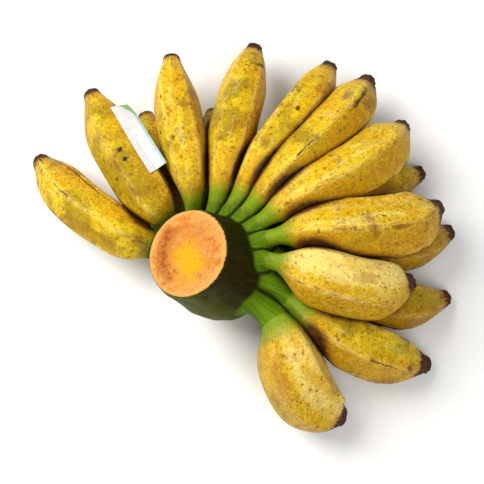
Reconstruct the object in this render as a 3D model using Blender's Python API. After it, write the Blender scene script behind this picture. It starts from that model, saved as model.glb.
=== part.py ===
"""A hand of short, stout bananas fanning out from the crown of its cut stalk.

The hand lies as it would be set down on a table: the stalk leans to the left, and the
fingers arch over and down in two rows, so that the tips of the lower row and of the two
end fingers carry it. Every finger is a fruit of its own on a green neck, and meets the
crown at the top of that neck. Lengths in this script are in millimetres until the meshes
are made.
"""

import math
from collections import namedtuple

import bmesh
import bpy
import numpy as np

MM = 0.001
TOUCHING_GAP = 0.35

# The stalk: its cut face, how it leans, and its outline down to the lower cut
FACE_CENTRE = np.array([-34.6, -14.7, 76.0])
STALK_LEAN = 28.2
STALK_LEAN_HEADING = 173.0
STALK_SIDES = 40
STALK_OUTLINE = [
    (0.0, 28.4),
    (1.6, 29.6),
    (12.0, 30.2),
    (26.0, 32.0),
    (40.0, 34.5),
    (54.0, 34.0),
    (64.0, 30.5),
    (71.0, 26.0),
    (73.0, 23.5),
]

# The rows of roots round the crown: distance below the cut face and from the axis. The last
# finger of the upper row sits lower than the rest.
ROW_DEPTH = {"upper": 37.0, "lower": 52.0, "end": 50.0}
ROOT_RADIUS = 37.0
STUB_LENGTH = 14.0
STUB_FLARE = 1.25
STUB_INTO_NECK = 1.5
SEAT_RINGS = 13
SEAT_GAP = 0.45

# The outline of one finger along its length, from the root
NOSE_LENGTH = 2.0
NOSE_ROUNDING = 0.45
NECK_WIDTH = 5.5
NECK_DEPTH = 6.8
SHOULDER_QUICKNESS = 0.9
TIP_QUICKNESS = 0.72
FINGER_RINGS = 23
RINGS_TOWARDS_TIP = 0.08
FINGER_SIDES = 15
LINE_STEPS = 400
MIDDLE_HANDLES = 4.0 / 3.0

# The section of one finger: how far its five faces are flat on the body and on the nose
ANGLES_IN_SECTION = 5
ANGULARITY = 0.8
NOSE_ANGULARITY = 0.35
CORNER_REACH = 1.06

# One finger: the row and the turn of its root round the stalk, its tip, its bow to the left
# near the neck and near the tip, its lift near the neck and near the tip, its radius, its width
# over its depth, the length of its neck, how long it takes to swell from the neck and to narrow
# to the tip, the turn of the corners of its section, and the radius of its nose
Finger = namedtuple("Finger", "row turn tip bow lift body aspect neck swell narrow corners nose")
FINGERS = {
    "finger_01": Finger("upper", 158, (-142, 67, 4.2), (11.5, 9.5), (12, 8), 17.0, 1.0, 3, 38, 52, 30, 6.2),
    "finger_02": Finger("upper", 140, (-104, 108, 27), (5, 4), (18, 10), 17.5, 1.0, 6, 38, 52, 46, 6.2),
    "finger_03": Finger("upper", 117, (-48.5, 132, 31), (-3, 3), (20, 12), 16.2, 1.0, 9, 50, 54, 54, 6.2),
    "finger_04": Finger("upper", 92, (9, 143, 21), (0, 0), (22, 12), 16.2, 1.0, 8, 58, 49, 50, 6.2),
    "finger_05": Finger("upper", 73, (61, 128, 25), (0, -5), (22, 12), 16.2, 1.0, 8, 55, 49, 62, 6.2),
    "finger_06": Finger("upper", 56, (87, 117, 29), (-1, -10), (24, 12), 17.0, 1.0, 8, 52, 47, 88, 6.2),
    "finger_07": Finger("upper", 38, (110, 84, 29), (-1, -14), (24, 12), 18.8, 1.0, 8, 50, 43, 80, 6.2),
    "finger_08": Finger("upper", 20, (132, 27, 29), (0, -17), (24, 12), 20.5, 1.0, 10, 44, 43, 80, 6.8),
    "finger_09": Finger("upper", -1, (111, -26, 38), (-6, -15), (28, 10), 20.5, 1.05, 9, 38, 39, 54, 6.8),
    "finger_10": Finger("end", -46, (66, -111.5, 3.6), (5.5, -21), (24, 14), 22.6, 1.0, 2, 58, 40, 54, 8.6),
    "finger_11": Finger("lower", 152, (-68, 99, 4.4), (0, 0), (11, 9), 15.0, 1.0, 10, 38, 49, 54, 6.2),
    "finger_12": Finger("lower", 128, (-20, 101, 4.2), (0, 0), (11, 9), 15.0, 1.0, 10, 38, 49, 54, 6.2),
    "finger_13": Finger("lower", 84, (35, 98, 4.0), (0, 0), (8, 7), 15.0, 1.0, 10, 38, 49, 54, 6.2),
    "finger_14": Finger("lower", 65, (69, 107, 4.2), (0, 0), (8, 7), 15.0, 1.0, 10, 38, 49, 54, 6.2),
    "finger_15": Finger("lower", 46, (125, 57, 4.2), (-3, -3), (10, 8), 15.0, 1.0, 10, 38, 49, 54, 6.2),
    "finger_16": Finger("lower", 28, (144, 15, 4.2), (-8, -13), (10, 8), 17.2, 1.0, 10, 38, 45, 50, 6.2),
    "finger_17": Finger("lower", 8, (140, -31, 4.2), (-10, -19), (10, 8), 17.0, 1.0, 10, 38, 49, 54, 6.2),
    "finger_18": Finger("lower", -22, (125, -77, 3.7), (-9, -13), (12, 10), 18.8, 1.0, 10, 38, 52, 64, 6.6),
}

# The paper label: it lies flat along the upper right of one finger, with its outer edge free
LABEL_FINGER = "finger_02"
LABEL_START = 44.0
LABEL_END = 96.0
LABEL_UPPER_ANGLE = 62.0
LABEL_LOWER_ANGLE = 46.0
LABEL_FREE_EDGE = 8.0
LABEL_SPRING = (30.0, -14.0)
LABEL_THICKNESS = 0.6
LABEL_CLEARANCE = 0.45
LABEL_STEPS_ALONG = 12
LABEL_STEPS_ACROSS = 3

# How fingers press each other flat: the most that a flank gives way, and how finely it is found
CLOSEST_PRESS = 0.45
PRESS_STEPS = 14
POINTS_BETWEEN_RINGS = 4
STALK_LINE_POINTS = 30

SHARP_ANGLE = 50.0

PEEL_COLOUR = (0.80, 0.56, 0.06, 1.0)
GREEN_COLOUR = (0.16, 0.20, 0.03, 1.0)
PAPER_COLOUR = (0.80, 0.80, 0.76, 1.0)
PEEL_ROUGHNESS = 0.5
STALK_ROUGHNESS = 0.6
PAPER_ROUGHNESS = 0.6


def unit(vector):
    """The same direction at length one, for one vector or a row of them."""
    vector = np.asarray(vector, float)
    return vector / np.linalg.norm(vector, axis=-1, keepdims=True)


def smooth(x):
    """Rises from 0 to 1 with level ends."""
    x = np.clip(x, 0.0, 1.0)
    return x * x * (3.0 - 2.0 * x)


def stalk_frame():
    """The stalk's axis towards its cut face, and two directions square to it."""
    lean, heading = math.radians(STALK_LEAN), math.radians(STALK_LEAN_HEADING)
    axis = np.array(
        [
            math.sin(lean) * math.cos(heading),
            math.sin(lean) * math.sin(heading),
            math.cos(lean),
        ]
    )
    right = unit(np.array([1.0, 0.0, 0.0]) - axis * axis[0])
    return axis, right, np.cross(axis, right)


def root_of(row, turn):
    """The point where a finger's neck leaves the crown."""
    axis, right, far = stalk_frame()
    angle = math.radians(turn)
    outward = math.cos(angle) * right + math.sin(angle) * far
    return FACE_CENTRE - ROW_DEPTH[row] * axis + ROOT_RADIUS * outward


def arched_line(finger):
    """The arched line from root to tip in many small steps, with the distance along it."""
    root, tip = root_of(finger.row, finger.turn), np.asarray(finger.tip, float)
    chord = tip - root
    left = unit(np.cross([0.0, 0.0, 1.0], chord))
    up = np.array([0.0, 0.0, 1.0])
    near_neck, near_tip = (
        MIDDLE_HANDLES * (bow * left + lift * up) for bow, lift in zip(finger.bow, finger.lift)
    )
    handles = [root, root + chord / 3 + near_neck, tip - chord / 3 + near_tip, tip]
    t = np.linspace(0.0, 1.0, LINE_STEPS)[:, None]
    weights = [(1 - t) ** 3, 3 * t * (1 - t) ** 2, 3 * t * t * (1 - t), t**3]
    dense = sum(w * p for w, p in zip(weights, handles))
    steps = np.linalg.norm(np.diff(dense, axis=0), axis=1)
    return dense, np.concatenate([[0.0], np.cumsum(steps)])


def ring_stations(length):
    """Distances along a finger: closer together towards the tip, and one for its end."""
    even = np.linspace(0.0, 1.0, FINGER_RINGS)
    spaced = even + RINGS_TOWARDS_TIP * np.sin(math.pi * even)
    return np.append((length - NOSE_LENGTH) * spaced, length)


def swelling(distance, reach, quickness):
    """From 0 to 1 over a stretch of the finger, quick at first as a shoulder swells."""
    return np.sin(0.5 * math.pi * smooth(distance / reach) ** quickness)


def radius_along(along, length, flare, narrowing, neck, body, nose):
    """Neck, flare, full belly, taper and the blunt nose of a finger."""
    widened = neck + (body - neck) * flare
    tapered = nose + (widened - nose) * narrowing
    end = np.clip((along - (length - NOSE_LENGTH)) / NOSE_LENGTH, 0, 1)
    return tapered * np.sqrt(1.0 - NOSE_ROUNDING * end**2)


def section(angles, body_share, turn):
    """How far the skin stands from the axis by angle, as a share of the radius: five soft corners."""
    step = 2 * math.pi / ANGLES_IN_SECTION
    folded = np.mod(angles - math.radians(turn), step) - step / 2
    flat_sided = math.cos(step / 2) / np.cos(folded)
    share = ANGULARITY * body_share
    return (1 - share) + share * flat_sided * CORNER_REACH


class Skin:
    """The skin of one finger before it is pressed, read at chosen distances from its root."""

    def __init__(self, finger, along):
        dense, distance = arched_line(finger)
        length = distance[-1]
        self.corners = finger.corners
        self.line = np.stack([np.interp(along, distance, dense[:, k]) for k in range(3)], axis=1)
        self.tangents = unit(np.gradient(self.line, along, axis=0))
        self.side = unit(np.cross(self.tangents, [0.0, 0.0, 1.0]))
        self.top = np.cross(self.side, self.tangents)
        flare = swelling(along - finger.neck, finger.swell, SHOULDER_QUICKNESS)
        from_nose = length - NOSE_LENGTH - along
        narrowing = swelling(from_nose, finger.narrow, TIP_QUICKNESS)
        self.share = flare * (NOSE_ANGULARITY + (1 - NOSE_ANGULARITY) * narrowing)
        widen = math.sqrt(finger.aspect)
        outline = (along, length, flare, narrowing)
        self.wide = radius_along(*outline, NECK_WIDTH, finger.body * widen, finger.nose)
        self.deep = radius_along(*outline, NECK_DEPTH, finger.body / widen, finger.nose)

    def spokes(self, k, angles):
        """From the axis to the skin at one station, for a row of angles."""
        shape = section(angles, self.share[k], self.corners)
        across = (np.cos(angles) * shape * self.wide[k])[:, None] * self.side[k]
        upward = (np.sin(angles) * shape * self.deep[k])[:, None] * self.top[k]
        return across + upward

    def radii(self):
        return np.maximum(self.wide, self.deep)


def finger_rings(finger):
    """A finger's skin and the points on each of its rings."""
    length = arched_line(finger)[1][-1]
    skin = Skin(finger, ring_stations(length))
    start = math.radians(finger.corners)
    angles = start + np.linspace(0.0, 2 * math.pi, FINGER_SIDES, endpoint=False)
    rings = [centre + skin.spokes(k, angles) for k, centre in enumerate(skin.line)]
    return skin, np.array(rings)


def label_rows():
    """Rows of points on the label's inner face, and the way its outer face lies from each."""
    stations = np.linspace(LABEL_START, LABEL_END, LABEL_STEPS_ALONG + 1)
    skin = Skin(FINGERS[LABEL_FINGER], stations)
    angles = np.radians(np.linspace(LABEL_UPPER_ANGLE, LABEL_LOWER_ANGLE, LABEL_STEPS_ACROSS + 1))
    springs = np.radians(np.linspace(*LABEL_SPRING, len(stations)))
    rows, outwards = [], []
    for k, spring in enumerate(springs):
        spokes = skin.spokes(k, angles)
        onward = np.gradient(spokes, axis=0)
        outward = unit(np.cross(onward, skin.tangents[k]))
        outward *= np.sign(np.sum(outward * spokes, axis=1))[:, None]
        points = skin.line[k] + spokes + outward * LABEL_CLEARANCE
        free = math.cos(spring) * unit(onward[-1]) + math.sin(spring) * outward[-1]
        edge = points[-1] + free * LABEL_FREE_EDGE
        rows.append(np.vstack([points, edge]))
        outwards.append(np.vstack([outward, outward[-1]]))
    return np.array(rows), np.array(outwards)


def stalk_line():
    """The stalk as a centreline with radii, for keeping the fingers off it."""
    axis, _, _ = stalk_frame()
    depths, radii = zip(*STALK_OUTLINE)
    fine = np.linspace(depths[0], depths[-1], STALK_LINE_POINTS)
    return FACE_CENTRE - fine[:, None] * axis, np.interp(fine, depths, radii)


def nearness(points, line, radii):
    """Distance from each point to a centreline, as a share of the radius there."""
    distance = np.linalg.norm(points[:, None, :] - line[None, :, :], axis=2)
    return (distance / radii[None, :]).min(axis=1)


def thicken(line, radii):
    """More points between the rings, so that distances to the line are smooth."""
    stations = np.arange(len(line))
    fine = np.linspace(0, len(line) - 1, POINTS_BETWEEN_RINGS * len(line))
    points = np.stack([np.interp(fine, stations, line[:, k]) for k in range(3)], axis=1)
    return points, np.interp(fine, stations, radii)


def press_apart(fingers):
    """Flattens each finger where it would meet a neighbour, as fruit that grew pressed together."""
    lines = {name: thicken(skin.line, skin.radii()) for name, (skin, _) in fingers.items()}
    lines["stalk"] = stalk_line()
    pressed = {}
    for name, (skin, rings) in fingers.items():
        centres = np.repeat(skin.line, rings.shape[1], axis=0)
        spokes = rings.reshape(-1, 3) - centres
        reach = np.linalg.norm(spokes, axis=1)
        low, high = np.full(len(spokes), CLOSEST_PRESS), np.ones(len(spokes))
        for _ in range(PRESS_STEPS):
            middle = (low + high) / 2
            clear = is_clear(centres + spokes * middle[:, None], name, lines)
            low, high = np.where(clear, middle, low), np.where(clear, high, middle)
        free = is_clear(centres + spokes, name, lines)
        share = np.where(free, 1.0, np.maximum(low - TOUCHING_GAP / reach, CLOSEST_PRESS / 2))
        pressed[name] = (centres + spokes * share[:, None]).reshape(rings.shape)
    return pressed


def is_clear(points, name, lines):
    """True for points that lie nearer to their own finger than to any neighbour."""
    own = nearness(points, *lines[name])
    clear = np.ones(len(points), bool)
    for other, (line, radii) in lines.items():
        if other != name:
            clear &= nearness(points, line, radii) > own + TOUCHING_GAP / radii.max()
    return clear


def rest_on_surface(points):
    """Small flats where a tip is carried by the table."""
    points[..., 2] = np.maximum(points[..., 2], 0.0)
    return points


def material(name, colour, roughness):
    made = bpy.data.materials.new(name)
    made.use_nodes = True
    shader = made.node_tree.nodes["Principled BSDF"]
    shader.inputs["Base Color"].default_value = colour
    shader.inputs["Roughness"].default_value = roughness
    shader.inputs["Metallic"].default_value = 0.0
    return made


def tube_mesh(name, rings):
    """A closed skin through rings of points, with a flat fan at each end."""
    mesh = bmesh.new()
    loops = [[mesh.verts.new(point * MM) for point in ring] for ring in rings]
    for first, second in zip(loops, loops[1:]):
        for k in range(len(first)):
            after = (k + 1) % len(first)
            mesh.faces.new((first[k], first[after], second[after], second[k]))
    for loop in (loops[0], loops[-1]):
        middle = mesh.verts.new(sum((v.co for v in loop), loop[0].co * 0) / len(loop))
        for k in range(len(loop)):
            mesh.faces.new((loop[k], loop[(k + 1) % len(loop)], middle))
    bmesh.ops.recalc_face_normals(mesh, faces=mesh.faces)
    data = bpy.data.meshes.new(name)
    mesh.to_mesh(data)
    mesh.free()
    return data


def add_object(name, data, finish):
    made = bpy.data.objects.new(name, data)
    data.materials.append(finish)
    data.shade_smooth()
    data.set_sharp_from_angle(angle=math.radians(SHARP_ANGLE))
    bpy.context.scene.collection.objects.link(made)
    return made


def label_mesh(name):
    """The label as a thin closed sheet."""
    rows, outwards = label_rows()
    mesh = bmesh.new()
    sheets = []
    for points in (rows, rows + outwards * LABEL_THICKNESS):
        sheets.append([[mesh.verts.new(point * MM) for point in row] for row in points])
    inner, outer = sheets
    last_row, last_column = len(inner) - 1, len(inner[0]) - 1
    for sheet in sheets:
        for i in range(last_row):
            for j in range(last_column):
                mesh.faces.new((sheet[i][j], sheet[i + 1][j], sheet[i + 1][j + 1], sheet[i][j + 1]))
    for j in (0, last_column):
        for i in range(last_row):
            mesh.faces.new((inner[i][j], inner[i + 1][j], outer[i + 1][j], outer[i][j]))
    for i in (0, last_row):
        for j in range(last_column):
            mesh.faces.new((inner[i][j], inner[i][j + 1], outer[i][j + 1], outer[i][j]))
    bmesh.ops.recalc_face_normals(mesh, faces=mesh.faces)
    data = bpy.data.meshes.new(name)
    mesh.to_mesh(data)
    mesh.free()
    return data


def stalk_rings():
    """The stalk's rings from the cut face down to the lower cut."""
    axis, right, far = stalk_frame()
    angles = np.linspace(0.0, 2 * math.pi, STALK_SIDES, endpoint=False)
    spokes = np.cos(angles)[:, None] * right + np.sin(angles)[:, None] * far
    return [FACE_CENTRE - depth * axis + radius * spokes for depth, radius in STALK_OUTLINE]


def stub_rings(first_ring, root, direction):
    """The short swelling of the crown that a neck grows from."""
    foot = root + (first_ring - root) * STUB_FLARE - STUB_LENGTH * direction
    return [foot, first_ring + STUB_INTO_NECK * direction]


def seat_rings(rings, skin):
    """The room that a neck takes in the crown: the neck itself and a thin gap all round."""
    centres = skin.line[:SEAT_RINGS, None, :]
    spokes = rings[:SEAT_RINGS] - centres
    seat = centres + spokes + unit(spokes) * SEAT_GAP
    seat[0] -= SEAT_GAP * skin.tangents[0]
    return seat


def combine(target, tools, operation):
    """Joins closed skins to a solid, or takes them out of it."""
    group = bpy.data.collections.new("tools")
    for name, rings in tools.items():
        group.objects.link(bpy.data.objects.new(name, tube_mesh(name, rings)))
    step = target.modifiers.new(operation, "BOOLEAN")
    step.operation = operation
    step.operand_type = "COLLECTION"
    step.collection = group
    step.solver = "EXACT"
    whole = target.evaluated_get(bpy.context.evaluated_depsgraph_get())
    changed = bpy.data.meshes.new_from_object(whole)
    target.modifiers.clear()
    target.data = changed
    for tool in list(group.objects):
        bpy.data.objects.remove(tool)
    bpy.data.collections.remove(group)


def build_crown(fingers, pressed, green):
    """The stalk and the swelling under every neck in one solid, with a seat for each neck."""
    crown = add_object("crown_stalk", tube_mesh("crown_stalk", stalk_rings()), green)
    swellings, seats = {}, {}
    for name, (skin, _) in fingers.items():
        swellings["swelling_" + name] = stub_rings(pressed[name][0], skin.line[0], skin.tangents[0])
        seats["seat_" + name] = seat_rings(pressed[name], skin)
    combine(crown, swellings, "UNION")
    combine(crown, seats, "DIFFERENCE")
    return crown


def centre_over_origin(objects):
    """Moves the whole hand so that the middle of its box stands over the origin."""
    corners = np.array([v.co for made in objects for v in made.data.vertices])
    middle = (corners.min(axis=0) + corners.max(axis=0)) / 2
    for made in objects:
        for vertex in made.data.vertices:
            vertex.co.x -= middle[0]
            vertex.co.y -= middle[1]
    print("size in millimetres:", np.round(np.ptp(corners, axis=0) / MM, 1))
    print("moved by:", np.round(-middle[:2] / MM, 3))
    return middle[:2] / MM


def main():
    for old in list(bpy.data.objects):
        bpy.data.objects.remove(old)
    peel = material("peel", PEEL_COLOUR, PEEL_ROUGHNESS)
    green = material("green_stalk", GREEN_COLOUR, STALK_ROUGHNESS)
    paper = material("paper", PAPER_COLOUR, PAPER_ROUGHNESS)
    fingers = {name: finger_rings(finger) for name, finger in FINGERS.items()}
    pressed = {name: rest_on_surface(rings) for name, rings in press_apart(fingers).items()}
    made = [add_object(name, tube_mesh(name, rings), peel) for name, rings in pressed.items()]
    made.append(build_crown(fingers, pressed, green))
    made.append(add_object("paper_label", label_mesh("paper_label"), paper))
    return centre_over_origin(made)


main()
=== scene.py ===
# %% [markdown]
# # A hand of short, stout bananas
#
# This lesson dresses a hand of bananas: two rows of fingers that fan out from one thick cut
# stalk, with a small blank label on one of them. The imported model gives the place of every
# piece, and the lesson builds finer shapes in the same places and gives them their skins.

# %% Load the fixed frame
import math
from collections import namedtuple
from types import SimpleNamespace

import bpy
import numpy as np
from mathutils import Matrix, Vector


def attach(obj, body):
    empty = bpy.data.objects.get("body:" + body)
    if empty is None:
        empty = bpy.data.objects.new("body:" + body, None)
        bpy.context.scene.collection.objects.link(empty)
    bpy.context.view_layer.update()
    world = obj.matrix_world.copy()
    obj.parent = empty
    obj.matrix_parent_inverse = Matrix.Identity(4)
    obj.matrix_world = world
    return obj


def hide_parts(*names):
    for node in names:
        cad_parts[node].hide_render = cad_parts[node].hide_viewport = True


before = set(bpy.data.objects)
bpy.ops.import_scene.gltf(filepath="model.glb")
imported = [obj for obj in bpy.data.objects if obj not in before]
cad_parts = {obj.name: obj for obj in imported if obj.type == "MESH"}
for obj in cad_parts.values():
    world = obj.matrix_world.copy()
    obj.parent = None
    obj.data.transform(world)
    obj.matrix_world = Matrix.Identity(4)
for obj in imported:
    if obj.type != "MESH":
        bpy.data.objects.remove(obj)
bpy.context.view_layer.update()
MM = 0.001
print("pieces in the frame:", sorted(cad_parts))

# %% [markdown]
# ## The camera
#
# The hand is seen almost from above, with the cut face turned a little to the left. A long lens
# far away would flatten it; this one stands 0.8 m off, where the near fingers look slightly
# larger than the far ones. The camera comes first, because every later choice is judged through
# it.

# %% Place the camera
FRAME_PIXELS = 484
FOCAL_PIXELS = 1212
SENSOR_WIDTH = 36.0
CAMERA_ELEVATION = math.radians(78)
CAMERA_DISTANCE = 0.8
AIM_HEIGHT = 40.0
# The design's own middle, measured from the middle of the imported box, in millimetres
DESIGN_SHIFT = np.array([-0.359, -10.996, 0.0])


def put_in_scene(name, data):
    """A new object with this data, linked into the scene."""
    made = bpy.data.objects.new(name, data)
    bpy.context.scene.collection.objects.link(made)
    return made


aim = Vector(tuple((DESIGN_SHIFT + [0.0, 0.0, AIM_HEIGHT]) * MM))
towards_camera = Vector((0.0, -math.cos(CAMERA_ELEVATION), math.sin(CAMERA_ELEVATION)))
lens = bpy.data.cameras.new("camera")
lens.sensor_width = SENSOR_WIDTH
lens.lens = SENSOR_WIDTH * FOCAL_PIXELS / FRAME_PIXELS
camera = put_in_scene("camera", lens)
camera.location = aim + towards_camera * CAMERA_DISTANCE
camera.rotation_euler = (-towards_camera).to_track_quat("-Z", "Y").to_euler()
bpy.context.scene.camera = camera
print("lens, in millimetres:", round(lens.lens, 1))

# %% [markdown]
# ## Arithmetic on sockets
#
# Shape trees and shader trees both do a lot of arithmetic. Placing a Math node by hand for every
# plus sign hides the idea, so a small class wraps a socket and turns `+`, `-`, `*` and `/` into
# nodes. Colours and vectors have nodes of their own, because a Math node would turn a colour
# grey.

# %% A value that can be reckoned with
class Value:
    """One output socket of a tree."""

    def __init__(self, sheet, socket):
        self.sheet = sheet
        self.socket = socket

    def __add__(self, other):
        return self.sheet.maths("ADD", self, other)

    def __radd__(self, other):
        return self.sheet.maths("ADD", other, self)

    def __sub__(self, other):
        return self.sheet.maths("SUBTRACT", self, other)

    def __rsub__(self, other):
        return self.sheet.maths("SUBTRACT", other, self)

    def __mul__(self, other):
        return self.sheet.maths("MULTIPLY", self, other)

    def __rmul__(self, other):
        return self.sheet.maths("MULTIPLY", other, self)

    def __truediv__(self, other):
        return self.sheet.maths("DIVIDE", self, other)

    def __rtruediv__(self, other):
        return self.sheet.maths("DIVIDE", other, self)

    def __pow__(self, other):
        return self.sheet.maths("POWER", self, other)

    def beside(self, name):
        """Another output of the same node."""
        return Value(self.sheet, self.socket.node.outputs[name])


# %% A tree that nodes are put on
class Sheet:
    """A node tree, with one way to add any node to it."""

    def __init__(self, tree):
        self.tree = tree

    def socket(self, sockets, key):
        """One of the sockets, by its place, its identifier or its name."""
        if isinstance(key, int):
            return sockets[key]
        for socket in sockets:
            if socket.identifier == key or socket.name == key:
                return socket
        raise KeyError(key)

    def node(self, kind, settings=None, inputs=None, out=0):
        """Adds a node: its settings first, then the values or links of its inputs."""
        made = self.tree.nodes.new(kind)
        for name, value in (settings or {}).items():
            setattr(made, name, value)
        for key, value in (inputs or {}).items():
            target = self.socket(made.inputs, key)
            if isinstance(value, Value):
                self.tree.links.new(value.socket, target)
            else:
                target.default_value = value
        return Value(self, self.socket(made.outputs, out))

    def maths(self, operation, *values):
        return self.node("ShaderNodeMath", {"operation": operation}, dict(enumerate(values)))

    def vectors(self, operation, *values):
        return self.node("ShaderNodeVectorMath", {"operation": operation}, dict(enumerate(values)))

    def scaled(self, vector, amount):
        return self.node("ShaderNodeVectorMath", {"operation": "SCALE"}, {0: vector, "Scale": amount})

    def mix(self, amount, first, second):
        """A colour between two others."""
        inputs = {"Factor_Float": amount, "A_Color": first, "B_Color": second}
        return self.node("ShaderNodeMix", {"data_type": "RGBA"}, inputs, "Result_Color")

    def noise(self, place, scale, detail=3.0, roughness=0.5):
        inputs = {"Vector": place, "Scale": scale, "Detail": detail, "Roughness": roughness}
        return self.node("ShaderNodeTexNoise", {}, inputs)

    def place(self):
        """Where a point of the surface lies, on Object coordinates."""
        return self.node("ShaderNodeTexCoord", {}, {}, "Object")

    def note(self, name):
        """A number that was stored on the mesh."""
        return self.node("ShaderNodeAttribute", {"attribute_name": name}, {}, "Fac")

    def step(self, value, low, high, bottom=0.0, top=1.0):
        """Rises smoothly from bottom to top while the value goes from low to high."""
        return self.node(
            "ShaderNodeMapRange",
            {"interpolation_type": "SMOOTHSTEP"},
            {"Value": value, "From Min": low, "From Max": high, "To Min": bottom, "To Max": top},
        )


# %% [markdown]
# ## The plan of the hand
#
# A finger is planned by a few sizes that a grower would recognise: where its neck leaves the
# crown, where its tip is, how it bows, how thick its body is and how long its neck is. The same
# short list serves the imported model, so the fine shapes land on the plain ones. The last two
# numbers belong to the looks: how ripe the finger is, from olive to pale cream, and how many
# millimetres of its tip have blackened.

# %% The stalk and the rows of roots
FACE_CENTRE = np.array([-34.6, -14.7, 76.0])
STALK_LEAN = math.radians(28.2)
STALK_HEADING = math.radians(173.0)
ROW_DEPTH = {"upper": 37.0, "lower": 52.0, "end": 50.0}
ROOT_RADIUS = 37.0
MIDDLE_HANDLES = 4.0 / 3.0


def unit(vector):
    """The same direction at length one, for one vector or a row of them."""
    vector = np.asarray(vector, float)
    return vector / np.linalg.norm(vector, axis=-1, keepdims=True)


stalk_axis = np.array(
    [
        math.sin(STALK_LEAN) * math.cos(STALK_HEADING),
        math.sin(STALK_LEAN) * math.sin(STALK_HEADING),
        math.cos(STALK_LEAN),
    ]
)
stalk_right = unit(np.array([1.0, 0.0, 0.0]) - stalk_axis * stalk_axis[0])
stalk_far = np.cross(stalk_axis, stalk_right)
print("the stalk points towards", stalk_axis.round(2))

# %% The fingers
# Row and turn of the root, tip, bow to the left and lift (each near the neck and near the tip),
# body radius, width over depth, length of the neck, how long it takes to swell from the neck and
# to narrow to the tip, turn of the corners, radius of the nose, ripeness, length of the
# blackened tip
Finger = namedtuple(
    "Finger", "row turn tip bow lift body aspect neck swell narrow corners nose ripeness black"
)
FINGERS = {
    "finger_01": ("upper", 158, (-142, 67, 4.2), (11.5, 9.5), (12, 8), 17.0, 1, 3, 38, 52, 30, 6.2, 0.1, 6),
    "finger_02": ("upper", 140, (-104, 108, 27), (5, 4), (18, 10), 17.5, 1, 6, 38, 52, 46, 6.2, -0.3, 5),
    "finger_03": ("upper", 117, (-48.5, 132, 31), (-3, 3), (20, 12), 16.2, 1, 9, 50, 54, 54, 6.2, 0.3, 4.5),
    "finger_04": ("upper", 92, (9, 143, 21), (0, 0), (22, 12), 16.2, 1, 8, 58, 49, 50, 6.2, 0.1, 9),
    "finger_05": ("upper", 73, (61, 128, 25), (0, -5), (22, 12), 16.2, 1, 8, 55, 49, 62, 6.2, 0, 8),
    "finger_06": ("upper", 56, (87, 117, 29), (-1, -10), (24, 12), 17.0, 1, 8, 52, 47, 88, 6.2, 0.1, 11),
    "finger_07": ("upper", 38, (110, 84, 29), (-1, -14), (24, 12), 18.8, 1, 8, 50, 43, 80, 6.2, 0.4, 8),
    "finger_08": ("upper", 20, (132, 27, 29), (0, -17), (24, 12), 20.5, 1, 10, 44, 43, 80, 6.8, 0.5, 14),
    "finger_09": ("upper", -1, (111, -26, 38), (-6, -15), (28, 10), 20.5, 1.05, 9, 38, 39, 54, 6.8, 1, 12),
    "finger_10": ("end", -46, (66, -111.5, 3.6), (5.5, -21), (24, 14), 22.6, 1, 2, 58, 40, 54, 8.6, 0.8, 15),
    "finger_11": ("lower", 152, (-68, 99, 4.4), (0, 0), (11, 9), 15.0, 1, 10, 38, 49, 54, 6.2, 0, 4),
    "finger_12": ("lower", 128, (-20, 101, 4.2), (0, 0), (11, 9), 15.0, 1, 10, 38, 49, 54, 6.2, 0, 4),
    "finger_13": ("lower", 84, (35, 98, 4.0), (0, 0), (8, 7), 15.0, 1, 10, 38, 49, 54, 6.2, -0.3, 6),
    "finger_14": ("lower", 65, (69, 107, 4.2), (0, 0), (8, 7), 15.0, 1, 10, 38, 49, 54, 6.2, -0.3, 6),
    "finger_15": ("lower", 46, (125, 57, 4.2), (-3, -3), (10, 8), 15.0, 1, 10, 38, 49, 54, 6.2, -0.3, 8),
    "finger_16": ("lower", 28, (144, 15, 4.2), (-8, -13), (10, 8), 17.2, 1, 10, 38, 45, 50, 6.2, -0.4, 9),
    "finger_17": ("lower", 8, (140, -31, 4.2), (-10, -19), (10, 8), 17.0, 1, 10, 38, 49, 54, 6.2, -1, 7),
    "finger_18": ("lower", -22, (125, -77, 3.7), (-9, -13), (12, 10), 18.8, 1, 10, 38, 52, 64, 6.6, 0.1, 13),
}
FINGERS = {name: Finger(*plan) for name, plan in FINGERS.items()}
print(len(FINGERS), "fingers")


# %% The arched line of a finger
def handles_of(finger):
    """The four handles of a finger's arched line, in design millimetres."""
    turn = math.radians(finger.turn)
    outward = math.cos(turn) * stalk_right + math.sin(turn) * stalk_far
    root = FACE_CENTRE - ROW_DEPTH[finger.row] * stalk_axis + ROOT_RADIUS * outward
    tip, up = np.asarray(finger.tip, float), np.array([0.0, 0.0, 1.0])
    chord = tip - root
    left = unit(np.cross(up, chord))
    near_neck, near_tip = (
        MIDDLE_HANDLES * (bow * left + lift * up) for bow, lift in zip(finger.bow, finger.lift)
    )
    return [root, root + chord / 3 + near_neck, tip - chord / 3 + near_tip, tip]


def curve_of(name, handles):
    """The arched line as one smooth curve object, in metres."""
    data = bpy.data.curves.new(name + "_line", "CURVE")
    data.dimensions = "3D"
    data.resolution_u = 64
    spline = data.splines.new("BEZIER")
    spline.bezier_points.add(1)
    placed = [Vector(tuple((h + DESIGN_SHIFT) * MM)) for h in handles]
    first, last = spline.bezier_points
    for point in (first, last):
        point.handle_left_type = point.handle_right_type = "FREE"
    first.co, first.handle_left, first.handle_right = placed[0], placed[0], placed[1]
    last.co, last.handle_left, last.handle_right = placed[3], placed[2], placed[3]
    return put_in_scene(name + "_line", data)


lines = {name: curve_of(name, handles_of(finger)) for name, finger in FINGERS.items()}
print("lines drawn:", len(lines))

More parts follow.
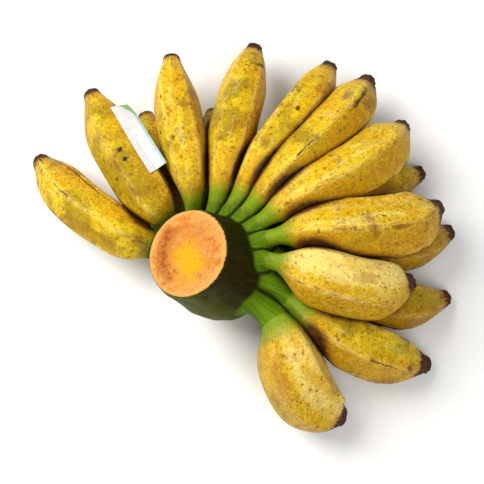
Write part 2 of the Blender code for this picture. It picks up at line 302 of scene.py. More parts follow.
# %% [markdown]
# ## The skin of a finger, by one rule
#
# Every finger follows the same rule: a thin neck, a shoulder that swells quickly, a full belly
# with five soft corners, a long rounded taper and a blunt nose. Modelling eighteen of them by
# hand would only repeat that rule, so a Geometry Nodes tree states it once and reads its sizes
# from named inputs. It bends a fine cylinder along the line, and notes on every point how far
# along and how far round it lies, because the markings of the peel need that later.

# %% The outline's sizes
NOSE_LENGTH = 2.0
NOSE_ROUNDING = 0.45
NECK_WIDTH = 5.5
NECK_DEPTH = 6.8
SHOULDER_QUICKNESS = 0.9
TIP_QUICKNESS = 0.72
ANGLES_IN_SECTION = 5
ANGULARITY = 0.8
NOSE_ANGULARITY = 0.35
CORNER_REACH = 1.06
RINGS = 112
SIDES = 60
SIZES = [
    "Body Radius", "Width over Depth", "Neck Length", "Swell Length", "Narrow Length", "Corner Turn",
    "Nose Radius",
]


# %% Radius and section, written as arithmetic
def swelling(sheet, distance, reach, quickness):
    """From 0 to 1 over a stretch of the finger, quick at first as a shoulder swells."""
    risen = sheet.step(distance / reach, 0.0, 1.0)
    return sheet.maths("SINE", risen**quickness * (0.5 * math.pi))


def radius_rule(sheet, along, length, flare, narrowing, neck, body, nose):
    """Neck, flare, full belly, taper and blunt nose."""
    widened = neck + (body - neck) * flare
    tapered = nose + (widened - nose) * narrowing
    end = sheet.maths("MAXIMUM", (along - (length - NOSE_LENGTH)) / NOSE_LENGTH, 0.0)
    rounded = sheet.maths("MAXIMUM", 1.0 - NOSE_ROUNDING * end**2.0 - NOSE_ROUNDING * end**10.0, 0.0)
    return tapered * sheet.maths("SQRT", rounded)


def corner_rule(sheet, turned, share):
    """Five soft corners, and how near each point is to one of them."""
    step = 2 * math.pi / ANGLES_IN_SECTION
    folded = sheet.maths("FLOORED_MODULO", turned, step) - step / 2
    flat_sided = math.cos(step / 2) / sheet.maths("COSINE", folded)
    angular = share * ANGULARITY
    reach = (1.0 - angular) + angular * flat_sided * CORNER_REACH
    return reach, sheet.maths("ABSOLUTE", folded) / (step / 2)


# %% Open and close a shape tree
def open_tree(name, inputs):
    """A shape tree with named inputs and a finish: its sheet, and the values that it is given."""
    tree = bpy.data.node_groups.new(name, "GeometryNodeTree")
    for title, kind in {**inputs, "Finish": "Material"}.items():
        tree.interface.new_socket(title, in_out="INPUT", socket_type="NodeSocket" + kind)
    tree.interface.new_socket("Shape", in_out="OUTPUT", socket_type="NodeSocketGeometry")
    sheet = Sheet(tree)
    given = tree.nodes.new("NodeGroupInput")
    return sheet, [Value(sheet, socket) for socket in given.outputs[: len(inputs) + 1]]


def close_tree(sheet, shape, finish):
    """Ends a tree with plain geometry that wears its finish."""
    shape = sheet.node("GeometryNodeRealizeInstances", {}, {"Geometry": shape})
    shape = sheet.node("GeometryNodeSetMaterial", {}, {"Geometry": shape, "Material": finish})
    end = sheet.tree.nodes.new("NodeGroupOutput")
    sheet.tree.links.new(shape.socket, end.inputs[0])
    return sheet.tree


# %% The tree
def finger_tree():
    """Bends a fine cylinder along the line it is given, and shapes it by the finger's rule."""
    sheet, given = open_tree("finger skin", {"Line": "Geometry", **dict.fromkeys(SIZES, "Float")})
    line, body, aspect, neck_length, swell, narrow, corner_turn, nose, finish = given

    blank = sheet.node(
        "GeometryNodeMeshCylinder",
        {"fill_type": "TRIANGLE_FAN"},
        {"Vertices": SIDES, "Side Segments": RINGS, "Fill Segments": 2, "Radius": 1.0, "Depth": 1.0},
    )
    place = sheet.node("GeometryNodeInputPosition")
    x, y, z = (sheet.node("ShaderNodeSeparateXYZ", {}, {0: place}, k) for k in range(3))
    from_end = sheet.maths("MAXIMUM", 0.5 - z, 0.0)
    share_along = 1.0 - from_end**1.5
    out_from_axis = sheet.maths("SQRT", x * x + y * y)
    round_corner = sheet.maths("ARCTAN2", y, x)
    around = round_corner + corner_turn

    length = sheet.node("GeometryNodeCurveLength", {}, {0: line}) / MM
    centre = sheet.node(
        "GeometryNodeSampleCurve", {"mode": "FACTOR"}, {"Curves": line, "Factor": share_along}, "Position"
    )
    tangent = centre.beside("Tangent")
    side = sheet.vectors("NORMALIZE", sheet.vectors("CROSS_PRODUCT", tangent, (0.0, 0.0, 1.0)))
    top = sheet.vectors("CROSS_PRODUCT", side, tangent)

    along = share_along * length
    flare = swelling(sheet, along - neck_length, swell, SHOULDER_QUICKNESS)
    narrowing = swelling(sheet, length - NOSE_LENGTH - along, narrow, TIP_QUICKNESS)
    widen = sheet.maths("SQRT", aspect)
    outline = (along, length, flare, narrowing)
    wide = radius_rule(sheet, *outline, NECK_WIDTH, body * widen, nose)
    deep = radius_rule(sheet, *outline, NECK_DEPTH, body / widen, nose)
    share = flare * (NOSE_ANGULARITY + (1.0 - NOSE_ANGULARITY) * narrowing)
    reach, ridge = corner_rule(sheet, round_corner, share)
    share_out = out_from_axis * reach * MM
    across = sheet.scaled(side, sheet.maths("COSINE", around) * wide * share_out)
    upward = sheet.scaled(top, sheet.maths("SINE", around) * deep * share_out)
    skin_place = sheet.vectors("ADD", sheet.vectors("ADD", centre, across), upward)

    skin = blank
    notes = [
        ("along", "FLOAT", along),
        ("from_tip", "FLOAT", length - along),
        ("past_neck", "FLOAT", along - neck_length),
        ("around", "FLOAT", around),
        ("ridge", "FLOAT", ridge),
        ("girth", "FLOAT", sheet.maths("MAXIMUM", wide, deep)),
        ("rim", "FLOAT", out_from_axis),
        ("axis", "FLOAT_VECTOR", centre),
    ]
    for name, kind, value in notes:
        skin = sheet.node(
            "GeometryNodeStoreNamedAttribute",
            {"data_type": kind, "domain": "POINT"},
            {"Geometry": skin, "Name": name, "Value": value},
        )
    skin = sheet.node("GeometryNodeSetPosition", {}, {"Geometry": skin, "Position": skin_place})
    skin = sheet.node("GeometryNodeFlipFaces", {}, {"Mesh": skin})
    skin = sheet.node("GeometryNodeSetShadeSmooth", {}, {"Geometry": skin, "Shade Smooth": True})
    return close_tree(sheet, skin, finish)


skin_rule = finger_tree()
print("nodes in the finger's rule:", len(skin_rule.nodes))


# %% Grow every finger
def put_rule_on(made, rule, sizes):
    """Adds the tree as a modifier, with its inputs set by identifier before it first runs."""
    modifier = made.modifiers.new(rule.name, "NODES")
    modifier.node_group = rule
    for item in rule.interface.items_tree:
        if item.item_type == "SOCKET" and item.in_out == "INPUT" and item.name in sizes:
            modifier[item.identifier] = sizes[item.name]


def grown_mesh(made, name):
    """The modifier's result as a plain mesh, with the modifier taken off again."""
    ready = made.evaluated_get(bpy.context.evaluated_depsgraph_get())
    data = bpy.data.meshes.new_from_object(ready)
    data.name = name
    made.modifiers.clear()
    return data


peel = bpy.data.materials.new("banana peel")
for name, line in lines.items():
    finger = FINGERS[name]
    sizes = [finger.body, finger.aspect, finger.neck, finger.swell, finger.narrow]
    sizes += [math.radians(finger.corners), finger.nose]
    put_rule_on(line, skin_rule, {**dict(zip(SIZES, map(float, sizes))), "Finish": peel})
meshes = {name: grown_mesh(line, name) for name, line in lines.items()}
for line in lines.values():
    bpy.data.objects.remove(line)
print("points on one finger:", len(meshes["finger_01"].vertices))

# %% [markdown]
# ## Fruit that grew pressed together
#
# Neighbouring fingers are crowded, so each has a flat where it leans on the next. Cutting one
# with a Boolean would give it a sharp edge and rob the other. Here every point asks whether it
# is nearer to its own finger than to any other, counted in radii, and slides back towards its
# own axis until it is. Both fingers then give way by the same amount, as the real ones did.

# %% Read the grown skins into arrays
TOUCHING_GAP = 0.35
CLOSEST_PRESS = 0.45
PRESS_STEPS = 13
NEIGHBOUR_REACH = 6.0
RIM_SHARE = 0.999


def column(data, name, width=1):
    """One attribute of a mesh as an array."""
    values = np.empty(len(data.vertices) * width)
    kind = "vector" if width == 3 else "value"
    data.attributes[name].data.foreach_get(kind, values)
    return values.reshape(-1, 3) if width == 3 else values


def points_of(data):
    flat = np.empty(len(data.vertices) * 3)
    data.vertices.foreach_get("co", flat)
    return flat.reshape(-1, 3) / MM


class Grown:
    """One finger's points, the axis point each belongs to, and its axis with the girth along it."""

    def __init__(self, data):
        self.points = points_of(data)
        self.centres = column(data, "axis", 3) / MM
        self.along = column(data, "along")
        self.around = column(data, "around")
        on_rim = np.flatnonzero(column(data, "rim") > RIM_SHARE)
        keys = np.round(self.along[on_rim], 3)
        order = np.lexsort((self.around[on_rim], keys))
        self.grid = on_rim[order].reshape(-1, SIDES)
        self.line = self.centres[self.grid[:, 0]]
        self.stations = self.along[self.grid[:, 0]]
        self.radii = column(data, "girth")[self.grid[:, 0]]


grown = {name: Grown(data) for name, data in meshes.items()}
print("rings on one finger:", len(grown["finger_01"].line))

# %% The stalk's outline
# Depth below the cut face, and the radius there
STALK_OUTLINE = [
    (0.0, 28.4), (1.6, 29.6), (12.0, 30.2), (26.0, 32.0), (40.0, 34.5),
    (54.0, 34.0), (64.0, 30.5), (71.0, 26.0), (73.0, 23.5),
]
outline_depths, outline_radii = (np.array(row) for row in zip(*STALK_OUTLINE))
stalk_depths = np.linspace(0.0, outline_depths[-1], 30)
cut_centre = FACE_CENTRE + DESIGN_SHIFT
stalk_line = cut_centre - stalk_depths[:, None] * stalk_axis
stalk_radii = np.interp(stalk_depths, outline_depths, outline_radii)


# %% Press the fingers apart
def nearness(points, line, radii):
    """Distance from each point to an axis, counted in radii."""
    squared = ((points[:, None, :] - line[None, :, :]) ** 2).sum(axis=2)
    return np.sqrt((squared / radii[None, :] ** 2).min(axis=1))


def neighbours_of(name):
    """The axes that come near enough to touch this finger."""
    own = grown[name]
    near = {}
    others = {other: (g.line, g.radii) for other, g in grown.items() if other != name}
    others["stalk"] = (stalk_line, stalk_radii)
    for other, (line, radii) in others.items():
        apart = np.linalg.norm(own.line[:, None, :] - line[None, :, :], axis=2)
        if (apart - own.radii[:, None] - radii[None, :]).min() < NEIGHBOUR_REACH:
            near[other] = (line, radii)
    return near


def crowding(points, own, near):
    """How much nearer each point is to its own axis than to any other, counted in radii."""
    mine = nearness(points, own.line, own.radii)
    margin = np.full(len(points), np.inf)
    for line, radii in near.values():
        margin = np.minimum(margin, nearness(points, line, radii) - mine - TOUCHING_GAP / radii.max())
    return margin


def press(name):
    """Slides the crowded points of one finger back, and notes how crowded every point is."""
    own, near = grown[name], neighbours_of(name)
    spokes = own.points - own.centres
    tight = np.flatnonzero(crowding(own.points, own, near) <= 0)
    low, high = np.full(len(tight), CLOSEST_PRESS), np.ones(len(tight))
    for _ in range(PRESS_STEPS):
        middle = (low + high) / 2
        tried = own.centres[tight] + spokes[tight] * middle[:, None]
        clear = crowding(tried, own, near) > 0
        low, high = np.where(clear, middle, low), np.where(clear, high, middle)
    share = np.ones(len(spokes))
    reach = np.maximum(np.linalg.norm(spokes[tight], axis=1), 1.0)
    share[tight] = np.maximum(low - TOUCHING_GAP / reach, CLOSEST_PRESS / 2)
    pressed = own.centres + spokes * share[:, None]
    return pressed, crowding(pressed, own, near)


pressed = {name: press(name) for name in grown}
print("crowded share of finger_06:", round(float((pressed["finger_06"][1] < 0.1).mean()), 2))

# %% [markdown]
# ## Small unevenness
#
# A peel that follows a rule exactly looks moulded. Real fingers have shallow dents a few
# centimetres long, so a handful of slow waves with seeded phases takes up to a third of a
# millimetre off the skin. The dried stub at the tip, where the flower fell off, is wrinkled by
# quicker waves. Where a tip would reach below the table it is flattened instead. Points that lie
# deep between two taller fingers are noted, and the peel is painted dark there as shade.

# %% How deep a point lies under its neighbours
FAR_AWAY = 9.0
STANDS_ABOVE = 4.0
COVER_REACH = 1.42
COVER_FADE = 0.25


def rise(value, reach):
    """From 0 to 1 while the value goes from 0 to its reach."""
    return np.clip(value / reach, 0.0, 1.0)


# Painted shade: the peel is painted dark where this is high.
def painted_gap_shade(name, points):
    """1 for a point low in the gap between two fingers that stand above it, 0 in the open."""
    shares = [np.full(len(points), FAR_AWAY)] * 2
    for other, own in grown.items():
        if other != name:
            line, radii = own.line[::3], own.radii[::3]
            apart = np.linalg.norm(points[:, None, :2] - line[None, :, :2], axis=2)
            nearest = apart.argmin(axis=1)
            above = line[nearest, 2] - points[:, 2] > STANDS_ABOVE
            shares.append(np.where(above, apart.min(axis=1) / radii[nearest], FAR_AWAY))
    second = np.sort(shares, axis=0)[1]
    return rise(COVER_REACH - second, COVER_FADE)


# %% Dent, rest and finish the meshes
DENT_DEPTH = 0.35
DENTS_FROM_RADIUS = 6.0
WRINKLE_DEPTH = 0.8
STUB_SHARE = 0.8
STUB_FADE = 4.0
CROWDED_REACH = 0.8
UNDERSIDE_CROWDING = 0.75
GAP_SHADE_WEIGHT = 1.2
SLOW = {"lengthwise": (0.02, 0.16), "turns": (1, 6)}
QUICK = {"lengthwise": (0.6, 1.8), "turns": (3, 10)}


def waves(own, seed, lengthwise, turns, count=7):
    """A smooth random pattern between 0 and 1 over one finger."""
    chance = np.random.default_rng(seed)
    total = np.zeros(len(own.points))
    for _ in range(count):
        per_mm = chance.uniform(*lengthwise)
        phase = chance.uniform(0, 2 * math.pi)
        total += np.cos(own.along * per_mm + own.around * chance.integers(*turns) + phase)
    return rise(0.5 + total / count, 1.0)


def write_points(data, points):
    data.vertices.foreach_set("co", (points * MM).ravel())
    data.update()


def write_note(data, name, values):
    """Stores one number on every point, for the materials to read."""
    note = data.attributes.new(name, "FLOAT", "POINT")
    note.data.foreach_set("value", np.asarray(values, float))


for seed, (name, (points, margin)) in enumerate(pressed.items(), start=1):
    own, finger = grown[name], FINGERS[name]
    spokes = points - own.centres
    length = np.maximum(np.linalg.norm(spokes, axis=1), 0.01)
    body = rise(length - DENTS_FROM_RADIUS, DENTS_FROM_RADIUS)
    from_tip = own.along.max() - own.along
    stub = rise(STUB_SHARE * finger.black - from_tip, STUB_FADE) * rise(length, STUB_FADE)
    dent = DENT_DEPTH * waves(own, seed, **SLOW) * body + WRINKLE_DEPTH * waves(own, seed, **QUICK) * stub
    points = own.centres + spokes * (1.0 - dent / length)[:, None]
    points[:, 2] = np.maximum(points[:, 2], 0.0)
    pressed[name] = (points, margin)
    write_points(meshes[name], points)
    # The crowded note is real browning where fingers press, doubled as painted shade on each finger's
    # underside, with painted shade added in the deep gaps.
    underside_shade = rise(own.centres[:, 2] - points[:, 2], length)
    crowded = rise(CROWDED_REACH - margin, CROWDED_REACH) * UNDERSIDE_CROWDING * (1.0 + underside_shade)
    write_note(meshes[name], "crowded", np.maximum(crowded, GAP_SHADE_WEIGHT * painted_gap_shade(name, points)))
    write_note(meshes[name], "ripeness", np.full(len(points), finger.ripeness))
    write_note(meshes[name], "black", np.full(len(points), float(finger.black)))
    write_note(meshes[name], "finger", np.full(len(points), float(seed)))
print("finger_01 now reaches down to", round(float(pressed["finger_01"][0][:, 2].min()), 2), "mm")

# %% Show the fingers
def show(name, data, replaced):
    """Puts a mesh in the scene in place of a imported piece."""
    made = put_in_scene(name, data)
    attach(made, "root")
    if replaced:
        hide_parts(replaced)


for name, data in meshes.items():
    show(name + "_skin", data, name)
print("fingers shown:", len(meshes))

# %% [markdown]
# ## The crown and its stalk
#
# The crown is one lump of plant tissue: the stalk, and a swelling under every neck that runs
# down into it. Joined tubes would leave hard creases where they meet. The tubes are laid into
# each other instead, wrapped in one skin by a voxel remesh, and the skin is relaxed, which
# rounds every joint the way tissue grows. Under the lower row and the outermost fingers the
# swellings are longer and thicker. The skin carries notes on how near each point lies to a neck
# and to the seam between two necks, and the finish reads them.

# %% Rings for the stalk and the swellings
VOXEL = 0.9 * MM
STALK_SIDES = 120
# How far up the neck a swelling reaches and how wide its foot is, for a row or for one finger
SWELLINGS = {
    "upper": (9.0, 1.08),
    "lower": (16.0, 1.40),
    "end": (19.0, 1.55),
    "finger_01": (17.0, 1.40),
    "finger_02": (20.0, 1.60),
    "finger_11": (12.0, 1.20),
}
SWELLING_DEPTH = 19.0
SWELLING_RINGS = 17
FOOT_SPREAD = 0.55
NECK_HOLD = 0.86
STALK_INSET = 0.6
# Height of each set of ribs down the stalk, how many there are, and where the first one stands
STALK_RIBS = [(0.35, 9, 0.6), (0.5, 4, 2.0), (0.3, 17, 0.0)]
RIBS_START = 6.0


def swelling_of(name):
    """Reach and width of the swelling under one finger."""
    return SWELLINGS.get(name, SWELLINGS[FINGERS[name].row])


def ring_across_stalk(angles):
    """Directions across the stalk, one for each angle."""
    return np.cos(angles)[:, None] * stalk_right + np.sin(angles)[:, None] * stalk_far


def tube(rings):
    """Points and faces of a closed tube through rings of points."""
    count = len(rings[0])
    points = np.vstack([np.vstack(rings), rings[0].mean(axis=0), rings[-1].mean(axis=0)])
    faces = []
    for k in range(len(rings) - 1):
        for j in range(count):
            a, b = k * count + j, k * count + (j + 1) % count
            faces.append((a, b, b + count, a + count))
    first, last = len(points) - 2, len(points) - 1
    top = (len(rings) - 1) * count
    for j in range(count):
        faces.append((first, (j + 1) % count, j))
        faces.append((last, top + j, top + (j + 1) % count))
    return points, faces


def stalk_tube():
    """The stalk, with the low ribs that old leaf bases leave down its sides."""
    depths = np.concatenate([[0.0, 0.5, 1.6], np.linspace(3.0, outline_depths[-1], 40)])
    angles = np.linspace(0, 2 * math.pi, STALK_SIDES, endpoint=False)
    spokes = ring_across_stalk(angles)
    ribs = sum(height * np.cos(angles * count + phase) for height, count, phase in STALK_RIBS)
    rings = []
    for depth in depths:
        radius = np.interp(depth, outline_depths, outline_radii) - STALK_INSET
        radius = radius + ribs * rise(depth, RIBS_START)
        rings.append(cut_centre - depth * stalk_axis + radius[:, None] * spokes)
    return tube(rings)


def swelling_tube(name):
    """The crown's tissue round the foot of one neck, thickening as it runs down into the stalk."""
    own, points = grown[name], pressed[name][0]
    backwards = -unit(own.line[1] - own.line[0])
    reach, width = swelling_of(name)
    rings = []
    for step in np.linspace(-SWELLING_DEPTH, reach, SWELLING_RINGS):
        k = int(np.searchsorted(own.stations, max(step, 0.0)))
        spokes = points[own.grid[k]] - own.line[k]
        if step <= 0:
            swell = width + FOOT_SPREAD * (-step / SWELLING_DEPTH) ** 1.2
            rings.append(own.line[0] + backwards * -step + spokes * swell)
        else:
            swell = width - (width - NECK_HOLD) * (step / reach) ** 1.3
            rings.append(own.line[k] + spokes * swell)
    return tube(rings)


print("the stalk alone has", len(stalk_tube()[0]), "points")

# %% Wrap them in one skin
LOWEST_CROWN = 0.6


def mesh_of(name, points, faces):
    """A mesh from points in millimetres."""
    data = bpy.data.meshes.new(name)
    data.from_pydata((np.asarray(points) * MM).tolist(), [], faces)
    return data


def lay_together(name, parts):
    """Several closed tubes in one mesh."""
    points, faces, offset = [], [], 0
    for part_points, part_faces in parts:
        points.append(part_points)
        faces += [tuple(offset + i for i in face) for face in part_faces]
        offset += len(part_points)
    return mesh_of(name, np.vstack(points), faces)


crown_tubes = [stalk_tube()] + [swelling_tube(name) for name in grown]
rough_crown = put_in_scene("crown", lay_together("crown", crown_tubes))
wrap = rough_crown.modifiers.new("wrap", "REMESH")
wrap.mode = "VOXEL"
wrap.voxel_size = VOXEL
relax = rough_crown.modifiers.new("relax", "SMOOTH")
relax.factor = 0.5
relax.iterations = 12
crown_mesh = grown_mesh(rough_crown, "crown")
bpy.data.objects.remove(rough_crown)
crown_points = points_of(crown_mesh)
crown_points[:, 2] = np.maximum(crown_points[:, 2], LOWEST_CROWN)
write_points(crown_mesh, crown_points)
print("points on the crown:", len(crown_points), "box", np.ptp(crown_points, axis=0).round(1), "mm")

# %% Note where each point of the crown lies
CUT_DEPTH = 0.55
CUT_RADIUS = 29.5
PAST_SWELLING = 2.0
BEHIND_ROOT = np.linspace(0, -14, 8)

from_face = crown_points - cut_centre
depth = -(from_face @ stalk_axis)
right, far = from_face @ stalk_right, from_face @ stalk_far
out = np.hypot(right, far)
to_necks = []
for name, own in grown.items():
    reach, width = swelling_of(name)
    foot = own.line[: np.searchsorted(own.stations, reach + PAST_SWELLING)]
    back = own.line[0] + BEHIND_ROOT[:, None] * unit(own.line[1] - own.line[0])
    axis = np.vstack([back, foot])
    apart = np.linalg.norm(crown_points[:, None, :] - axis[None], axis=2).min(axis=1)
    to_necks.append(apart / width)
near_neck, next_neck = np.sort(to_necks, axis=0)[:2]
write_note(crown_mesh, "depth", depth)
write_note(crown_mesh, "face_right", right)
write_note(crown_mesh, "face_far", far)
write_note(crown_mesh, "near_neck", near_neck)
write_note(crown_mesh, "from_seam", next_neck - near_neck)
cut_face = (depth < CUT_DEPTH) & (out < CUT_RADIUS)
write_note(crown_mesh, "cut_face", cut_face)
crown_mesh.shade_smooth()
print("points on the cut face:", int(cut_face.sum()))

# %% Let the peel stay green past a long swelling
GREEN_SHIFT = 1.2
for name, data in meshes.items():
    shift = GREEN_SHIFT * (SWELLINGS[FINGERS[name].row][0] - SWELLINGS["upper"][0])
    write_note(data, "past_foot", column(data, "past_neck") - shift)
print("the last finger stays green", round(shift, 1), "mm further than the upper row")

# %% [markdown]
# ## Fibres in the cut face
#
# The stalk is a bundle of fibres, and a knife leaves their ends standing a little proud of the
# dried pith. They repeat over a surface, so a second tree scatters them: points on a disc just
# inside the rim, a low dome on each, with a fixed seed so that every run gives the same face.

# %% The scattering tree
FIBRE_SIZES = {"Spacing": 1.5 * MM, "Density": 260000.0, "Dome": 0.34 * MM, "Height": 0.5, "Seed": 4}


def fibre_tree():
    """Scatters low domes over a face, each a little different in size."""
    sizes = dict.fromkeys(("Spacing", "Density", "Dome", "Height"), "Float")
    sheet, given = open_tree("fibre ends", {"Face": "Geometry", **sizes, "Seed": "Int"})
    face, spacing, density, dome, height, seed, finish = given
    scattered = sheet.node(
        "GeometryNodeDistributePointsOnFaces",
        {"distribute_method": "POISSON"},
        {"Mesh": face, "Distance Min": spacing, "Density Max": density, "Seed": seed},
    )
    turn = scattered.beside("Rotation")
    ball = sheet.node("GeometryNodeMeshIcoSphere", {}, {"Radius": 1.0, "Subdivisions": 1})
    width = sheet.node(
        "FunctionNodeRandomValue",
        {"data_type": "FLOAT"},
        {"Min_001": 0.55, "Max_001": 1.25, "Seed": seed},
        "Value_001",
    )
    size = sheet.node(
        "ShaderNodeCombineXYZ", {}, {0: width * dome, 1: width * dome, 2: width * dome * height}
    )
    domes = sheet.node(
        "GeometryNodeInstanceOnPoints",
        {},
        {"Points": scattered, "Instance": ball, "Rotation": turn, "Scale": size},
    )
    return close_tree(sheet, domes, finish)


fibre_rule = fibre_tree()
print("nodes in the fibres' rule:", len(fibre_rule.nodes))

# %% Scatter the fibre ends
DISC_POINTS = 48
DISC_RADIUS = 25.5
DISC_DEPTH = 0.12
fibre_finish = bpy.data.materials.new("fibre ends")
disc_rim = ring_across_stalk(np.linspace(0, 2 * math.pi, DISC_POINTS, endpoint=False))
disc_points = cut_centre - DISC_DEPTH * stalk_axis + disc_rim * DISC_RADIUS
fibres = put_in_scene("fibres", mesh_of("fibre ends", disc_points, [tuple(range(DISC_POINTS))]))
put_rule_on(fibres, fibre_rule, {**FIBRE_SIZES, "Finish": fibre_finish})
fibre_mesh = grown_mesh(fibres, "fibre_ends")
bpy.data.objects.remove(fibres)
fibre_mesh.shade_smooth()
print("faces on the fibre ends:", len(fibre_mesh.polygons))

# %% [markdown]
# ## The paper label
#
# The label is a strip of thin paper stuck along the upper side of one finger, with its outer
# edge free. Cloth simulation would be a long way round for something this stiff. The strip reads
# the grown skin of that finger instead: it lies a hair off the peel, and from its last line of
# glue it runs on straight, lifted more at one end than at the other.

# %% Lay the label on its finger
LABEL_FINGER = "finger_02"
LABEL_ALONG = (44.0, 96.0)
LABEL_ANGLES = (62.0, 46.0)
LABEL_FREE_EDGE = 8.0
LABEL_FREE_STEPS = 8
LABEL_SPRING = (30.0, -14.0)
LABEL_GAP = 0.55
LABEL_THICKNESS = 0.35


def read_skin(own, along, angle):
    """A point of the unpressed skin and its axis, at a distance and an angle in radians."""
    stations = own.stations
    k = np.clip(np.searchsorted(stations, along) - 1, 0, len(stations) - 2)
    part = (along - stations[k]) / (stations[k + 1] - stations[k])
    rows = []
    for row in (k, k + 1):
        angles = own.around[own.grid[row]]
        ring = own.points[own.grid[row]] - own.line[row]
        rows.append(np.array([np.interp(angle, angles, ring[:, c], period=2 * math.pi) for c in range(3)]))
    centre = own.line[k] * (1 - part) + own.line[k + 1] * part
    return centre, rows[0] * (1 - part) + rows[1] * part


def label_rows(columns=14, rows=40):
    own = grown[LABEL_FINGER]
    angles = np.radians(np.linspace(*LABEL_ANGLES, columns))
    springs = np.radians(np.linspace(*LABEL_SPRING, rows))
    inner, outward = [], []
    for along, spring in zip(np.linspace(*LABEL_ALONG, rows), springs):
        read = [read_skin(own, along, angle) for angle in angles]
        centre = read[0][0]
        spokes = np.array([spoke for _, spoke in read])
        onward = np.gradient(spokes, axis=0)
        tangent = read_skin(own, along + 1.0, 0.0)[0] - centre
        away = unit(np.cross(onward, tangent))
        away *= np.sign((away * spokes).sum(axis=1))[:, None]
        points = centre + spokes + away * LABEL_GAP
        free = np.linspace(0, LABEL_FREE_EDGE, LABEL_FREE_STEPS + 1)[1:, None]
        heading = math.cos(spring) * unit(onward[-1]) + math.sin(spring) * away[-1]
        inner.append(np.vstack([points, points[-1] + heading * free]))
        outward.append(np.vstack([away, np.repeat(away[-1:], len(free), axis=0)]))
    return np.array(inner), np.array(outward)


inner, outward = label_rows()
print("label rows and columns:", inner.shape[:2])

# %% Close the label's sheet
def sheet_mesh(name, inner, outward, thickness):
    """A thin closed sheet, with a flat map from 0 to 1 across it and along it."""
    rows, columns = inner.shape[:2]
    both = np.vstack([inner.reshape(-1, 3), (inner + outward * thickness).reshape(-1, 3)])
    half = rows * columns
    faces = []
    for i in range(rows - 1):
        for j in range(columns - 1):
            a = i * columns + j
            faces.append((a, a + 1, a + columns + 1, a + columns))
            faces.append((half + a, half + a + columns, half + a + columns + 1, half + a + 1))
    border = list(range(columns)) + [i * columns + columns - 1 for i in range(1, rows)]
    border += [(rows - 1) * columns + j for j in range(columns - 2, -1, -1)]
    border += [i * columns for i in range(rows - 2, 0, -1)]
    for a, b in zip(border, border[1:] + border[:1]):
        faces.append((b, a, half + a, half + b))
    data = mesh_of(name, both, faces)
    across = np.tile(np.tile(np.linspace(0, 1, columns), rows), 2)
    lengthwise = np.tile(np.repeat(np.linspace(0, 1, rows), columns), 2)
    write_note(data, "across", across)
    write_note(data, "lengthwise", lengthwise)
    return data


label_mesh = sheet_mesh("label", inner, outward, LABEL_THICKNESS)
middle_row = np.diff(inner[len(inner) // 2], axis=0)
print("label is", round(float(np.linalg.norm(middle_row, axis=1).sum()), 1), "mm wide")

# %% [markdown]
# ## Opening a finish
#
# Every finish here is one Principled shader. What is the same all over a surface is set on the
# shader's own sockets; what changes is worked out by nodes and feeds colour, roughness or the
# bump. Colours are picked the way a screen shows them and turned into linear light in Python.

# %% A finish to work on
def paint(red, green, blue):
    """A screen colour from 0 to 255, as linear light."""
    linear = []
    for part in (red / 255, green / 255, blue / 255):
        linear.append(part / 12.92 if part <= 0.04045 else ((part + 0.055) / 1.055) ** 2.4)
    return (*linear, 1.0)


def open_finish(material, roughness=0.5, specular=0.5):
    """Clears a material and gives it one shader, with a sheet to put nodes on."""
    material.use_nodes = True
    tree = material.node_tree
    tree.nodes.clear()
    shader = tree.nodes.new("ShaderNodeBsdfPrincipled")
    shader.inputs["Roughness"].default_value = roughness
    shader.inputs["Specular IOR Level"].default_value = specular
    end = tree.nodes.new("ShaderNodeOutputMaterial")
    tree.links.new(shader.outputs[0], end.inputs[0])
    return Sheet(tree), shader


def feed(sheet, shader, name, value):
    sheet.tree.links.new(value.socket, shader.inputs[name])


class Coat:
    """The colour of a piece: a first tone, glazed over with others mask by mask."""

    def __init__(self, sheet, first):
        self.sheet = sheet
        self.colour = first

    def glaze(self, tone, mask):
        self.colour = self.sheet.mix(mask, self.colour, tone)


def roughen(sheet, shader, height, depth_mm):
    """A bump of a real depth, from a height between 0 and 1."""
    bump = sheet.node("ShaderNodeBump", {}, {"Strength": 1.0, "Distance": depth_mm * MM, "Height": height})
    feed(sheet, shader, "Normal", bump)


# %% [markdown]
# ## The peel
#
# A ripe peel is not one yellow. It is golden with olive clouds and paler cheeks, it carries
# freckles of several sizes, it is rubbed brown along its corners, it browns where fingers lean
# on each other, and it runs from a green neck to a blackened tip. Painted shade darkens one side
# of each finger, its underside and the deep gaps of the hand, and keeps the cream cheeks to the
# lit side. Each of these is a mask between 0 and 1, and the colour is painted up mask by mask, as
# a painter would glaze it. A few scars and scuffs stand in one known place each, and come last.

# %% Colours of the peel
GOLD = paint(224, 180, 4)
LEMON = paint(234, 210, 34)
OLIVE = paint(156, 138, 4)
CREAM = paint(248, 222, 134)
STRAW = paint(246, 210, 74)
AMBER = paint(188, 126, 2)
DUSK = paint(142, 104, 8)
RUST = paint(140, 84, 8)
DEEP_BROWN = paint(48, 22, 6)
FRECKLE = paint(112, 68, 14)
BARK = paint(56, 30, 14)
TIP_BLACK = paint(34, 14, 18)
TIP_BROWN = paint(98, 54, 36)
SCUFF = paint(172, 112, 24)
ASHEN = paint(122, 96, 66)
NECK_GREEN = paint(96, 128, 12)
BRIGHT_GREEN = paint(112, 158, 18)
DEEP_GREEN = paint(50, 70, 10)


# %% Masks of the peel
def freckles(sheet, place, scale, radius, keep, where):
    """Round specks in the cells of a grid, kept only in some of them and where they are dense."""
    spots = sheet.node("ShaderNodeTexVoronoi", {}, {"Vector": place, "Scale": scale}, "Distance")
    chance = sheet.node("ShaderNodeSeparateColor", {}, {0: spots.beside("Color")}, 0)
    ragged = spots + (sheet.noise(place, scale * 2.3, 3.0) - 0.5) * radius * 3.2
    chosen = sheet.step(chance + where * 2.2, keep, keep + 0.12)
    return sheet.step(ragged, radius, radius * 0.45) * chosen


